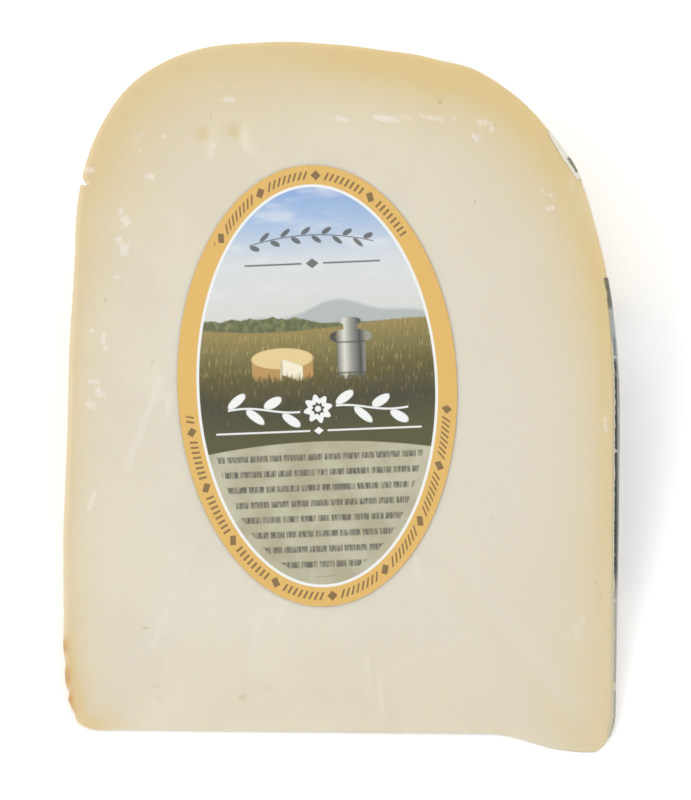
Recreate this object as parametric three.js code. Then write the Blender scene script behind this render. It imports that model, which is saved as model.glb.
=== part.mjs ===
// A wedge of goat cheese, cut from a round wheel, in a tight clear film and with its labels.
// Millimetres. The wedge lies on its lower cut face, with Z up and its rim towards +Y.
//
// A place on the wheel is (x, r, turn): x runs along the wheel's axis, r is the distance
// from that axis, and turn is the angle about it, which is 0 at the lower cut face.

import * as THREE from "three";
import { mergeVertices } from "three/addons/utils/BufferGeometryUtils.js";

// The cut: the sector's angle, the rounding of its edges, and the middle of each cut face.
const WEDGE_ANGLE = THREE.MathUtils.degToRad(18);
const CUT_EDGE_ROUNDING = 0.8;
const MOST_OF_THIN_EDGE = 0.45;
const FACE_MIDDLE = { x: 0, r: 66 };

// The wheel's section, round from its right flank over the rim to the tip.
const RIGHT_FLANK = { x: 50.9, r: 45.7 };
const CROWN = { x: -16.3, r: 131.9 };
const LEFT_FLANK = { x: -48.7, r: 94.2 };
const LEFT_HIP = { x: -50.9, r: 42.5 };
const TIP_LEFT = { x: -40.8, r: 5.9 };
const TIP_RIGHT = { x: 27, r: 5.5 };
const TIP_SAG = { x: 46.2, r: 2.2 };
const RIGHT_FOOT = { x: 50.55, r: 9.5 };
const SAG_HANDLES = { start: 7.2, end: 10.4 };

// How square each rounded corner of the section is: 2 is an ellipse, and more is squarer.
const RIGHT_SHOULDER_POWER = 3.36;
const LEFT_SHOULDER_POWER = 2.31;
const LEFT_FOOT_POWER = 5;
const RIGHT_FOOT_POWER = 1.8;

// Where pressing left the rim uneven: how far it rises or dips, and how far that reaches.
const RIM_MARKS = [
  { x: 42.9, r: 106.6, rise: 0.45, reach: 6 },
  { x: 33, r: 121.5, rise: 0.1, reach: 5 },
  { x: 24.5, r: 127.5, rise: 0.4, reach: 6 },
  { x: 19, r: 128.8, rise: -0.35, reach: 4 },
  { x: 9, r: 130.5, rise: -0.45, reach: 7 },
  { x: -10, r: 132, rise: 0.35, reach: 6 },
  { x: -38, r: 124, rise: 0.25, reach: 6 },
  { x: -49.4, r: 76, rise: 0.3, reach: 10 },
];

// The upper cut face: long low waves under the film, and one small dimple near the rim.
const WAVE_HEIGHT = 0.25;
const WAVE_ACROSS = { reach: 13, phase: 0.6 };
const WAVE_UP = { reach: 17, phase: -0.4 };
const DIMPLE = { x: -17.5, r: 115, depth: 0.6, reach: 2.4 };

// The oval label on the upper cut face.
const OVAL = { x: -4, r: 69.1, halfWidth: 25.6, halfHeight: 40.35 };
const OVAL_TILT = THREE.MathUtils.degToRad(2.3);
const LABEL_GAP = 0.2;
const LABEL_THICKNESS = 0.2;

// The wheel's round label and a small tag on its right side, both cut through with the wedge.
const RIND_LABEL = { from: 6, to: 88.8 };
const SHOULDER_TAG = { from: 107, to: 115.9 };
const TAG_TURN_SHARE = 0.45;
const LABEL_TO_CUT_EDGE = 0.3;
const LABEL_TO_FLOOR = 1;

// Facets. Each stretch of the section has its own count, higher where it curves more.
const FACE_RINGS = 12;
const EDGE_RINGS = 3;
const RIND_RINGS = 6;
const BACK_RINGS = 3;
const OVAL_COLUMNS = 56;
const OVAL_RINGS = 7;
const LABEL_STEPS_UP = 32;
const LABEL_STEPS_ROUND = 5;
const TAG_STEPS_UP = 4;

const RIGHT_ANGLE = Math.PI / 2;
const SLOPE_STEP = 0.1;

const toVector = ({ x, r }) => new THREE.Vector2(x, r);

const straight = (from, to) => new THREE.LineCurve(toVector(from), toVector(to));

const bell = (place, { x, r, reach }) =>
  Math.exp(-((place.x - x) ** 2 + (place.r - r) ** 2) / reach ** 2);

// The place in space of a point of the section, turned about the wheel's axis.
const onWheel = ({ x, r }, turn) => new THREE.Vector3(x, r * Math.cos(turn), r * Math.sin(turn));

// A quarter of a superellipse, from a flank, where it stands upright, to where it lies flat.
class RoundedCorner extends THREE.Curve {
  constructor(flank, flat, power, fromFlat = false) {
    super();
    Object.assign(this, { flank, flat, power, fromFlat });
  }

  getPoint(share) {
    const angle = RIGHT_ANGLE * (this.fromFlat ? 1 - share : share);
    const sideways = Math.cos(angle);
    const upwards = Math.sin(angle);
    const length = (sideways ** this.power + upwards ** this.power) ** (1 / this.power);
    return new THREE.Vector2(
      this.flat.x + ((this.flank.x - this.flat.x) * sideways) / length,
      this.flank.r + ((this.flat.r - this.flank.r) * upwards) / length,
    );
  }
}

// The tip's edge sags in a soft S towards its right-hand end.
const sagging = new THREE.CubicBezierCurve(
  toVector(TIP_RIGHT),
  new THREE.Vector2(TIP_RIGHT.x + SAG_HANDLES.start, TIP_RIGHT.r),
  new THREE.Vector2(TIP_SAG.x - SAG_HANDLES.end, TIP_SAG.r),
  toVector(TIP_SAG),
);

const STRETCHES = [
  { curve: new RoundedCorner(RIGHT_FLANK, CROWN, RIGHT_SHOULDER_POWER), steps: 28 },
  { curve: new RoundedCorner(LEFT_FLANK, CROWN, LEFT_SHOULDER_POWER, true), steps: 18 },
  { curve: straight(LEFT_FLANK, LEFT_HIP), steps: 6 },
  { curve: new RoundedCorner(LEFT_HIP, TIP_LEFT, LEFT_FOOT_POWER), steps: 12 },
  { curve: straight(TIP_LEFT, TIP_RIGHT), steps: 10 },
  { curve: sagging, steps: 6 },
  { curve: new RoundedCorner(RIGHT_FOOT, TIP_SAG, RIGHT_FOOT_POWER, true), steps: 8 },
  { curve: straight(RIGHT_FOOT, RIGHT_FLANK), steps: 5 },
];

// A point of the rim, moved out or in by the marks near it.
function pressed(place, outward) {
  const rise = RIM_MARKS.reduce((sum, mark) => sum + mark.rise * bell(place, mark), 0);
  return { x: place.x + outward.x * rise, r: place.r + outward.r * rise };
}

// The section as columns, each with its place and the direction out of the wheel there.
function sectionColumns() {
  const points = STRETCHES.flatMap(({ curve, steps }) =>
    curve.getSpacedPoints(steps).slice(0, -1),
  );
  return points.map((point, i) => {
    const before = points.at(i - 1);
    const after = points[(i + 1) % points.length];
    const along = after.clone().sub(before).normalize();
    const outward = { x: along.y, r: -along.x };
    return { ...pressed({ x: point.x, r: point.y }, outward), outward };
  });
}

// How far the upper cut face stands above its plane at a place.
function faceRelief(place) {
  const across = Math.sin(place.x / WAVE_ACROSS.reach + WAVE_ACROSS.phase);
  const up = Math.cos(place.r / WAVE_UP.reach + WAVE_UP.phase);
  return WAVE_HEIGHT * across * up - DIMPLE.depth * bell(place, DIMPLE);
}

// A closed body with the grid of a sphere, each of its points put in its own place.
function closedGrid(columns, rings, placeOf) {
  const geometry = new THREE.SphereGeometry(1, columns, rings);
  const position = geometry.getAttribute("position");
  for (let i = 0; i < position.count; i += 1) {
    const column = (i % (columns + 1)) % columns;
    const ring = Math.floor(i / (columns + 1));
    const { x, y, z } = placeOf(column, ring);
    position.setXYZ(i, x, y, z);
  }
  return onlyPlaces(geometry);
}

function onlyPlaces(geometry) {
  geometry.deleteAttribute("normal");
  geometry.deleteAttribute("uv");
  return mergeVertices(geometry);
}

// The rings of the wedge, from the middle of the upper cut face over the rind to the lower.
// share runs from the middle to the edge, and cut and down are in roundings from that edge.
function wedgeRings() {
  const front = [];
  for (let i = 0; i <= FACE_RINGS; i += 1) {
    front.push({ share: i / FACE_RINGS, cut: 1, down: 0, rind: 0, raised: 1 });
  }
  for (let i = 1; i <= EDGE_RINGS; i += 1) {
    const angle = (RIGHT_ANGLE * i) / EDGE_RINGS;
    const sunk = 1 - Math.cos(angle);
    front.push({ share: 1, cut: 1 - Math.sin(angle), down: sunk, rind: 0, raised: 1 - sunk });
  }
  const rind = [];
  for (let i = 1; i <= RIND_RINGS; i += 1) {
    const share = i / RIND_RINGS;
    rind.push({ share: 1, cut: 0, down: 1 - 2 * share, rind: share, raised: 0 });
  }
  const back = [];
  for (let i = 1; i <= EDGE_RINGS; i += 1) {
    const angle = (RIGHT_ANGLE * i) / EDGE_RINGS;
    back.push({ share: 1, cut: 1 - Math.cos(angle), down: Math.sin(angle) - 1, rind: 1, raised: 0 });
  }
  for (let i = 1; i <= BACK_RINGS; i += 1) {
    back.push({ share: 1 - i / BACK_RINGS, cut: 1, down: 0, rind: 1, raised: 0 });
  }
  return [...front, ...rind, ...back];
}

function wedge() {
  const columns = sectionColumns();
  const rings = wedgeRings();
  return closedGrid(columns.length, rings.length - 1, (i, j) => {
    const column = columns[i];
    const { share, cut, down, rind, raised } = rings[j];
    const thickness = column.r * WEDGE_ANGLE;
    const rounding = Math.min(CUT_EDGE_ROUNDING, thickness * MOST_OF_THIN_EDGE);
    const edge = {
      x: column.x - column.outward.x * rounding * cut,
      r: column.r - column.outward.r * rounding * cut,
    };
    const place = {
      x: THREE.MathUtils.lerp(FACE_MIDDLE.x, edge.x, share),
      r: THREE.MathUtils.lerp(FACE_MIDDLE.r, edge.r, share),
    };
    const depth = thickness * rind + rounding * down;
    const turn = WEDGE_ANGLE * (1 - depth / thickness) + (raised * faceRelief(place)) / place.r;
    return onWheel(place, turn);
  });
}

// The oval label: its upper side from the middle out, then its under side back in.
function ovalLabel() {
  return closedGrid(OVAL_COLUMNS, 2 * OVAL_RINGS + 1, (i, j) => {
    const onTop = j <= OVAL_RINGS;
    const share = (onTop ? j : 2 * OVAL_RINGS + 1 - j) / OVAL_RINGS;
    const angle = (2 * Math.PI * i) / OVAL_COLUMNS;
    const offset = new THREE.Vector2(
      OVAL.halfWidth * share * Math.cos(angle),
      OVAL.halfHeight * share * Math.sin(angle),
    ).rotateAround(new THREE.Vector2(), OVAL_TILT);
    const place = { x: OVAL.x + offset.x, r: OVAL.r + offset.y };
    const height = LABEL_GAP + (onTop ? LABEL_THICKNESS : 0) + faceRelief(place);
    return onWheel(place, WEDGE_ANGLE + height / place.r);
  });
}

// The right flank at a distance r from the wheel's axis, moved out from the rind by a height.
function flankPlace(r, height) {
  const { lerp, inverseLerp } = THREE.MathUtils;
  const cornerX = (flank, flat, power, at) =>
    lerp(flat.x, flank.x, (1 - inverseLerp(flank.r, flat.r, at) ** power) ** (1 / power));
  const flankX = (at) => {
    if (at > RIGHT_FLANK.r) return cornerX(RIGHT_FLANK, CROWN, RIGHT_SHOULDER_POWER, at);
    if (at < RIGHT_FOOT.r) return cornerX(RIGHT_FOOT, TIP_SAG, RIGHT_FOOT_POWER, at);
    return lerp(RIGHT_FOOT.x, RIGHT_FLANK.x, inverseLerp(RIGHT_FOOT.r, RIGHT_FLANK.r, at));
  };
  const slope = new THREE.Vector2(
    flankX(r + SLOPE_STEP) - flankX(r - SLOPE_STEP),
    2 * SLOPE_STEP,
  ).normalize();
  const outward = { x: slope.y, r: -slope.x };
  const place = pressed({ x: flankX(r), r }, outward);
  return { x: place.x + outward.x * height, r: place.r + outward.r * height };
}

// A thin label on the right flank: a box bent to run up the flank and round with the wheel.
function flankLabel({ from, to }, turnShare, stepsUp) {
  const geometry = new THREE.BoxGeometry(1, 1, 1, 1, stepsUp, LABEL_STEPS_ROUND);
  const position = geometry.getAttribute("position");
  for (let i = 0; i < position.count; i += 1) {
    const r = THREE.MathUtils.lerp(from, to, position.getY(i) + 0.5);
    const height = LABEL_GAP + LABEL_THICKNESS * (position.getX(i) + 0.5);
    const highest = WEDGE_ANGLE - LABEL_TO_CUT_EDGE / r;
    const lowest = Math.max(LABEL_TO_FLOOR / r, highest - WEDGE_ANGLE * turnShare);
    const turn = THREE.MathUtils.lerp(lowest, highest, position.getZ(i) + 0.5);
    const { x, y, z } = onWheel(flankPlace(r, height), turn);
    position.setXYZ(i, x, y, z);
  }
  return onlyPlaces(geometry);
}

function piece(name, geometry, color, roughness) {
  const material = new THREE.MeshStandardMaterial({ color, roughness, metalness: 0 });
  const mesh = new THREE.Mesh(geometry, material);
  mesh.name = name;
  return mesh;
}

const pieces = new THREE.Group();
pieces.add(
  piece("wrapped_wedge", wedge(), 0xe0d9c1, 0.35),
  piece("front_label", ovalLabel(), 0xe5bd6f, 0.45),
  piece("rind_label", flankLabel(RIND_LABEL, 1, LABEL_STEPS_UP), 0x4a5354, 0.5),
  piece("shoulder_tag", flankLabel(SHOULDER_TAG, TAG_TURN_SHARE, TAG_STEPS_UP), 0xe6e6dc, 0.5),
);

// The origin is under the middle of the whole, at the height that it rests on.
const extent = new THREE.Box3().setFromObject(pieces);
const middle = extent.getCenter(new THREE.Vector3());
pieces.position.set(-middle.x, -middle.y, -extent.min.z);

const cheeseWedge = new THREE.Group();
cheeseWedge.name = "cheese_wedge";
cheeseWedge.add(pieces);

export default cheeseWedge;
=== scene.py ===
# A wedge of goat cheese in a tight clear film, with its printed labels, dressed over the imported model.
# Places are given in millimetres on the wheel that the wedge was cut from: x runs along the wheel's
# axis, r is the distance from that axis, and turn is the angle about it, 0 at the lower cut face.
import math

import bpy
import numpy as np
from mathutils import Matrix, Vector


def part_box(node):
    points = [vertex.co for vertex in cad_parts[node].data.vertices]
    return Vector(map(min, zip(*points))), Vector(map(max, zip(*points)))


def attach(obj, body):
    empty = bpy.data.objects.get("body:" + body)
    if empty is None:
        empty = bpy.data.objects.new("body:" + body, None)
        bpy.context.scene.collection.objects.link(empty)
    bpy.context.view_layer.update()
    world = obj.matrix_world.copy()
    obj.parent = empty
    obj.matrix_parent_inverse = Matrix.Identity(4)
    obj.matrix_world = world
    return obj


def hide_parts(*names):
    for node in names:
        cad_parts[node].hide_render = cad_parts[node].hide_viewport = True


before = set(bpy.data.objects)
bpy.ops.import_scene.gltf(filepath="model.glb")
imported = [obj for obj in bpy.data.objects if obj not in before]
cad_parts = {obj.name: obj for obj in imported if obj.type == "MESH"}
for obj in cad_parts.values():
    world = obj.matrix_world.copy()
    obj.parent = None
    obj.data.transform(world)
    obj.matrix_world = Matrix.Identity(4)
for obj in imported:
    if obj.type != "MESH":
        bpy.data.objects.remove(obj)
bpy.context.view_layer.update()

# The cheese: a wedge of firm white paste, parted from a pressed wheel by two straight cuts.
# Its rind is the wheel's own dried skin, which tints the paste golden for a few millimetres inwards
# and is toasted brown in places at the lower left, where small bits of it have flaked off.

MM = 0.001
WEDGE_ANGLE = math.radians(18)
FACE_MIDDLE = np.array([0, 66])
RIGHT_FLANK = np.array([50.9, 45.7])
CROWN = np.array([-16.3, 131.9])
LEFT_FLANK = np.array([-48.7, 94.2])
LEFT_HIP = np.array([-50.9, 42.5])
TIP_LEFT = np.array([-40.8, 5.9])
TIP_RIGHT = np.array([27, 5.5])
TIP_SAG = np.array([46.2, 2.2])
RIGHT_FOOT = np.array([50.55, 9.5])
SAG_START = np.array([7.2, 0])
SAG_END = np.array([10.4, 0])
RIGHT_SHOULDER_POWER = 3.36
LEFT_SHOULDER_POWER = 2.31
LEFT_FOOT_POWER = 5
RIGHT_FOOT_POWER = 1.8

# Rises and dips of the rim: x, r, how far out, and how far along.
RIM_MARKS = [
    (42.9, 106.6, 0.45, 6), (33, 121.5, 0.1, 5), (24.5, 127.5, 0.4, 6), (19, 128.8, -0.35, 4),
    (9, 130.5, -0.45, 7), (-10, 132, 0.35, 6), (-38, 124, 0.25, 6), (-49.4, 76, 0.3, 10),
    (51, 80, 0.35, 16), (44.3, 110.4, 0.35, 2.5), (-46.5, 107.9, -0.05, 1.5), (-50.2, 27.5, -0.2, 1),
    (-50.2, 21.4, 0.2, 1.5), (-50, 18.2, -0.25, 0.8), (-49.6, 15.4, 0.2, 2), (-50, 12.9, -0.3, 0.7),
    (-49.8, 11.4, 0.2, 0.6), (-49, 8.9, -0.2, 0.8), (-48.2, 7.6, 0.15, 0.9),
]
# A crack in the rind: its depth at the upper cut edge and half its width, then how far down the flank
# it would close, how far it wanders, and the power of share that ends it on the cut face.
CRACK_X, CRACK_R, CRACK_DEPTH, CRACK_REACH = -47.5, 106.7, 1.35, 0.42
CRACK_CLOSES, CRACK_WANDER, CRACK_POWER = 120, 0.1, 30
# Where the outline needs its points closer together: x, r, how many times more, and how far along.
FINE_PLACES = [(-47.3, 106.4, 5, 2.5), (-50, 18, 4, 8), (-47, 8.5, 4, 5), (43, 110, 1.5, 8), (49, 6, 2, 6)]

EDGE_ROUNDING = 0.8
MOST_OF_THIN_EDGE = 0.45
# The film presses the cut edge rounder beside the labels: x, r, how much more, and how far along.
PRESSED_EDGES = [(43.8, 111.3, 0.9, 4.6), (50.9, 48, 0.3, 45)]
PASTE_INSET = 0.12
# The rind is sunk for the labels on the right flank: how far, and the x where that begins and is full.
LABELS_ROOM, LABELS_ROOM_X = 0.06, (34, 40)
MOST_INSET_SHARE = 0.2
WAVE_HEIGHT = 0.25
# Small pits near the rim, and the low bump beside the deeper one: x, r, depth and reach.
PITS = [(-18.9, 115.3, 0.55, 1.7), (-24.7, 115, 0.35, 1.7), (-16, 113.4, -0.3, 1.6)]

OUTLINE_COLUMNS = 640
FACE_RINGS = 58
EDGE_RINGS = 6
RIND_RINGS = 22
BACK_RINGS = 18
EDGE_CROWDING = 1.45

# How the rind tints the paste round the outline: x, r, then how strongly, how deep it stays full,
# how far it fades over, and a faint tint that is full and ends at the two depths below.
RIND_TINTS = [
    (0, 131.6, 0.9, 2.9, 7.3, 0.1), (20, 128.5, 1, 4, 7.4, 0.03), (33.9, 120.8, 1, 2.2, 8.5, 0.02),
    (42.5, 110.5, 0.92, 1.6, 8.5, 0.03), (45.7, 102.2, 0.75, 4, 5.8, 0.03),
    (48.1, 94.3, 0.93, 1.4, 7.3, 0.01), (50.2, 84.8, 0.92, 1.2, 6.6, 0.04),
    (50.9, 66.5, 0.62, 1.6, 2.8, 0.18), (50.9, 47.8, 0.6, 1.4, 3, 0.15),
    (50.7, 24, 0.58, 0.8, 8.5, 0.02), (49.8, 8, 0.62, 1, 10, 0.04), (46.5, 2.5, 0.6, 1.8, 10.5, 0),
    (43.3, 2.3, 0.44, 5, 14, 0), (36.3, 3.6, 0.21, 2, 14, 0), (22.2, 5.6, 0, 0, 3, 0.2),
    (5, 5.6, 0, 0, 3, 0.17), (-36, 5.9, 0, 0, 3, 0.15), (-44.5, 7.2, 0.75, 0.5, 2.6, 0.15),
    (-48.6, 9, 0.95, 1, 2.4, 0.19), (-50.3, 21.2, 0.75, 0.8, 2, 0.2),
    (-50.5, 31.1, 0.58, 0.7, 4.2, 0.05), (-50.8, 43.1, 0.54, 0.6, 2.6, 0.14),
    (-50, 60, 0.54, 0.6, 2.5, 0.15), (-49.4, 79.6, 0.6, 0.6, 3.2, 0.14),
    (-48.5, 94.3, 0.78, 0.8, 6, 0.05), (-46.9, 106.1, 0.88, 2.3, 8, 0.05),
    (-43.2, 117.7, 0.94, 2.8, 11, 0), (-34.8, 126.8, 0.92, 2.2, 11.5, 0.02),
    (-23.6, 131.4, 0.82, 2.2, 12.5, 0.02), (-11.6, 132.3, 0.8, 2.2, 10.5, 0.04),
]
FAINT_TINT_DEPTHS = (6, 20)
# Small brown spots in the paste: x, r, half length along x, half length along r, and how strongly.
SPOTS = [(-17.7, 12.2, 0.9, 0.6, 0.45), (18.5, 120.9, 0.45, 0.55, 0.8), (-35.5, 24.8, 0.6, 0.22, 0.7),
         (-23.6, 118.4, 0.25, 0.4, 0.6), (-33.8, 14.2, 0.8, 0.6, 0.2), (-33.1, 12, 0.6, 0.5, 0.2),
         (-13.3, 13.7, 0.9, 0.5, 0.18), (24.9, 102.7, 0.22, 0.5, 0.6), (13, 38.2, 0.4, 0.4, 0.5),
         (-46.3, 21.4, 0.4, 0.15, 0.4), (-43, 84.8, 0.25, 0.5, 0.5), (-34.2, 73.5, 0.35, 0.3, 0.5),
         (28.2, 44.9, 0.3, 0.3, 0.35), (47, 33.2, 0.45, 0.3, 0.45), (47.8, 30.9, 0.3, 0.5, 0.4)]
# Toasted bits at the edge of the rind: x, r, how far along, and how strongly.
TOASTED = [(-50.7, 21.4, 1.4, 0.9), (-50.4, 15.8, 2.2, 0.95), (-49.8, 11.8, 1.1, 1.1), (-49.3, 9.8, 1.5, 0.5)]
TOASTED_DEPTH = 0.4
# The tip is bare paste: the rind begins where the outline turns up the flanks, and is full higher up.
RIND_R = (6.3, 8.8)


def bell(x, r, at_x, at_r, reach):
    """exp(-distance^2 / reach^2) from the place (at_x, at_r)."""
    return np.exp(-((x - at_x) ** 2 + (r - at_r) ** 2) / reach**2)


def rounded_corner(flank, flat, power, share):
    """A quarter of a superellipse, from a flank (share 0) to where the outline lies flat (share 1).

    Its middle is (flat x, flank r), and a place is that middle plus each half axis times
    (cos, sin) / (cos^power + sin^power)^(1/power)."""
    angle = share * math.pi / 2
    sideways, upwards = np.cos(angle), np.sin(angle)
    length = (sideways**power + upwards**power) ** (1 / power)
    x = flat[0] + (flank[0] - flat[0]) * sideways / length
    r = flank[1] + (flat[1] - flank[1]) * upwards / length
    return np.concatenate([x, r], axis=1)


def straight(start, end, share):
    """Places from start to end."""
    return start + (end - start) * share


def sag(share):
    """The tip's soft S: a cubic Bezier curve whose two handles lie along x."""
    handles = [TIP_RIGHT, TIP_RIGHT + SAG_START, TIP_SAG - SAG_END, TIP_SAG]
    weights = [(1 - share) ** 3, 3 * (1 - share) ** 2 * share, 3 * (1 - share) * share**2, share**3]
    return sum(weight * handle for weight, handle in zip(weights, handles))


share = np.linspace(0, 1, 500, endpoint=False)[:, None]
wheel_outline = np.concatenate([
    rounded_corner(RIGHT_FLANK, CROWN, RIGHT_SHOULDER_POWER, share),
    rounded_corner(LEFT_FLANK, CROWN, LEFT_SHOULDER_POWER, 1 - share),
    straight(LEFT_FLANK, LEFT_HIP, share),
    rounded_corner(LEFT_HIP, TIP_LEFT, LEFT_FOOT_POWER, share),
    straight(TIP_LEFT, TIP_RIGHT, share),
    sag(share),
    rounded_corner(RIGHT_FOOT, TIP_SAG, RIGHT_FOOT_POWER, 1 - share),
    straight(RIGHT_FOOT, RIGHT_FLANK, share),
])


class Outline:
    """Places along the wheel's section, with the direction out of the wheel at each.

    Outward is the direction along the section turned a quarter clockwise: (dr, -dx)."""

    def __init__(self, x, r, closed):
        if closed:
            along = np.stack([np.roll(x, -1) - np.roll(x, 1), np.roll(r, -1) - np.roll(r, 1)])
        else:
            along = np.stack([np.gradient(x), np.gradient(r)])
        along /= np.linalg.norm(along, axis=0)
        self.out_x, self.out_r = along[1], -along[0]
        rise = sum(up * bell(x, r, mark_x, mark_r, reach) for mark_x, mark_r, up, reach in RIM_MARKS)
        self.x = x + self.out_x * rise
        self.r = r + self.out_r * rise
        self.thickness = self.r * WEDGE_ANGLE
        more = sum(most * bell(self.x, self.r, *place, reach) for *place, most, reach in PRESSED_EDGES)
        self.rounding = np.minimum(EDGE_ROUNDING + more, self.thickness * MOST_OF_THIN_EDGE)


def whole_outline(columns):
    """Columns spread round the section, closer together at the fine places.

    The run along the section is weighted by 1 + the sum of the fine places' bells, and the
    columns lie at equal steps of that run."""
    x, r = wheel_outline.T
    weight = 1 + sum(gain * bell(x, r, *place, reach) for *place, gain, reach in FINE_PLACES)
    steps = np.linalg.norm(np.roll(wheel_outline, -1, axis=0) - wheel_outline, axis=1) * weight
    run = np.concatenate([[0], np.cumsum(steps)])
    wanted = np.arange(columns) * run[-1] / columns
    closed = np.vstack([wheel_outline, wheel_outline[:1]])
    return Outline(np.interp(wanted, run, closed[:, 0]), np.interp(wanted, run, closed[:, 1]), True)


def wedge_rings():
    """Rings from the middle of the upper cut face, over the rind, to the middle of the lower.

    A ring is (share, cut, down, rind, facing): share runs from the middle to the edge, cut and down
    are in roundings from that edge, rind runs from the upper to the lower edge, and facing is how
    far the surface faces along the turn."""
    front = 1 - (1 - np.linspace(0, 1, FACE_RINGS + 1)) ** EDGE_CROWDING
    back = (1 - np.linspace(0, 1, BACK_RINGS + 1)[1:]) ** (1 / EDGE_CROWDING)
    angle = np.linspace(0, math.pi / 2, EDGE_RINGS + 1)[1:]
    rind = np.linspace(0, 1, RIND_RINGS + 1)[1:]
    stretches = [
        (front, 1, 0, 0, 1),
        (1, 1 - np.sin(angle), 1 - np.cos(angle), 0, np.cos(angle)),
        (1, 0, 1 - 2 * rind, rind, 0),
        (1, 1 - np.cos(angle), np.sin(angle) - 1, 1, np.sin(angle)),
        (back, 1, 0, 1, 1),
    ]
    rows = [np.stack(np.broadcast_arrays(*stretch), axis=1) for stretch in stretches]
    return np.concatenate(rows)


def face_relief(x, r):
    """The upper cut face's long low waves, sin across times cos up, less a bell for each pit."""
    waves = WAVE_HEIGHT * np.sin(x / 13 + 0.6) * np.cos(r / 17 - 0.4)
    ripples = 0.05 * np.sin(x / 3.7 + r / 9) * np.cos(r / 4.9 - x / 11)
    return waves + ripples - sum(depth * bell(x, r, at_x, at_r, reach) for at_x, at_r, depth, reach in PITS)


# The frame gives the wheel's place: the wedge's left side and its rim are at the box's sides.
wedge_low, wedge_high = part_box("wrapped_wedge")
rough_outline = Outline(*wheel_outline.T, True)
AXIS_X = wedge_low.x / MM - LEFT_HIP[0]
AXIS_Y = wedge_high.y / MM - rough_outline.r.max()


def on_wheel(x, r, turn):
    """Metres in the frame: (x, r cos turn, r sin turn) from the wheel's axis."""
    x, r, turn = np.broadcast_arrays(x, r, turn)
    return np.stack([x + AXIS_X, r * np.cos(turn) + AXIS_Y, r * np.sin(turn)], axis=-1) * MM


def skin(outline, rings, inset, room=0, lift=None):
    """Places (x, r, turn) of the wedge's skin, sunk by inset and raised by lift(x, r), in mm.

    A place on a cut face is between its middle and the edge, and turn falls from the upper face by
    depth over thickness, where depth is thickness * rind + rounding * down. The rind is sunk by the
    room for the labels too. The crack takes places at the edge towards the middle by its opening,
    and wanders along r by the sum of two sines of the depth."""
    share, cut, down, rind, facing = (rings[:, i, None] for i in range(5))
    thickness, rounding = outline.thickness, outline.rounding
    depth = thickness * rind + rounding * down
    inwards = rounding * cut + np.minimum(inset + room, thickness * MOST_INSET_SHARE)
    edge_x = outline.x - outline.out_x * inwards
    edge_r = outline.r - outline.out_r * inwards
    crack_r = CRACK_R + CRACK_WANDER * (np.sin(depth / 2.3) + np.sin(depth / 5.1))
    opening = np.clip(1 - depth / CRACK_CLOSES, 0, 1) * CRACK_DEPTH
    opening = opening * bell(outline.x, outline.r, CRACK_X, crack_r, CRACK_REACH)
    to_middle = np.hypot(outline.x - FACE_MIDDLE[0], outline.r - FACE_MIDDLE[1])
    kept = share - share**CRACK_POWER * opening / to_middle
    x = FACE_MIDDLE[0] + (edge_x - FACE_MIDDLE[0]) * kept
    r = FACE_MIDDLE[1] + (edge_r - FACE_MIDDLE[1]) * kept
    raised = facing * (rind < 0.5)
    sunk = np.minimum(inset, r * WEDGE_ANGLE * MOST_INSET_SHARE)
    up = 0 if lift is None else lift(x, r)
    height = raised * (face_relief(x, r) + up) - sunk * (1 - 2 * rind)
    return x, r, WEDGE_ANGLE * (1 - depth / thickness) + height / r


def put_in_scene(name, data):
    """An object of its own for a mesh, a camera or a lamp."""
    thing = bpy.data.objects.new(name, data)
    bpy.context.collection.objects.link(thing)
    return thing


def finish_piece(name, vertices, faces, readings, sharp=math.radians(50)):
    """A smooth object. Its readings, numbers or vectors at each vertex, are for its finish."""
    mesh = bpy.data.meshes.new(name)
    mesh.from_pydata(vertices.tolist(), [], faces)
    for reading, values in readings.items():
        kind, field = ("FLOAT", "value") if values.ndim == 1 else ("FLOAT_VECTOR", "vector")
        mesh.attributes.new(reading, kind, "POINT").data.foreach_set(field, values.ravel())
    mesh.shade_smooth()
    mesh.set_sharp_from_angle(angle=sharp)
    return put_in_scene(name, mesh)


def closed_skin(name, places, readings):
    """A closed mesh over rows of places: the first and last rows are poles, and columns join up.

    Vertex 0 is the first pole, then come the rows between the poles, then the last pole."""
    rows, columns = places.shape[:2]

    def flat(values):
        between = values[1:-1].reshape(-1, *values.shape[2:])
        return np.concatenate([values[:1, 0], between, values[-1:, 0]])

    corner = 1 + np.arange(rows - 3)[:, None] * columns + np.arange(columns)
    beside = np.roll(corner, -1, axis=1)
    quads = np.stack([corner, corner + columns, beside + columns, beside], axis=-1).reshape(-1, 4)
    first, last = corner[0], corner[-1] + columns
    pole = np.full(columns, 1 + (rows - 2) * columns)
    start = np.stack([np.zeros(columns, int), first, np.roll(first, -1)], axis=1)
    end = np.stack([pole, np.roll(last, -1), last], axis=1)
    faces = quads.tolist() + start.tolist() + end.tolist()
    return finish_piece(name, flat(places), faces, {k: flat(v) for k, v in readings.items()})


outline = whole_outline(OUTLINE_COLUMNS)
rings = wedge_rings()
labels_room = np.interp(outline.x, LABELS_ROOM_X, (0, LABELS_ROOM))
x, r, turn = skin(outline, rings, PASTE_INSET, labels_room)
ring_share, ring_facing = rings[:, 0, None], rings[:, 4, None]
middle_to_edge = (outline.x - FACE_MIDDLE[0]) * outline.out_x + (outline.r - FACE_MIDDLE[1]) * outline.out_r
to_rind = (1 - ring_share) * middle_to_edge

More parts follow.
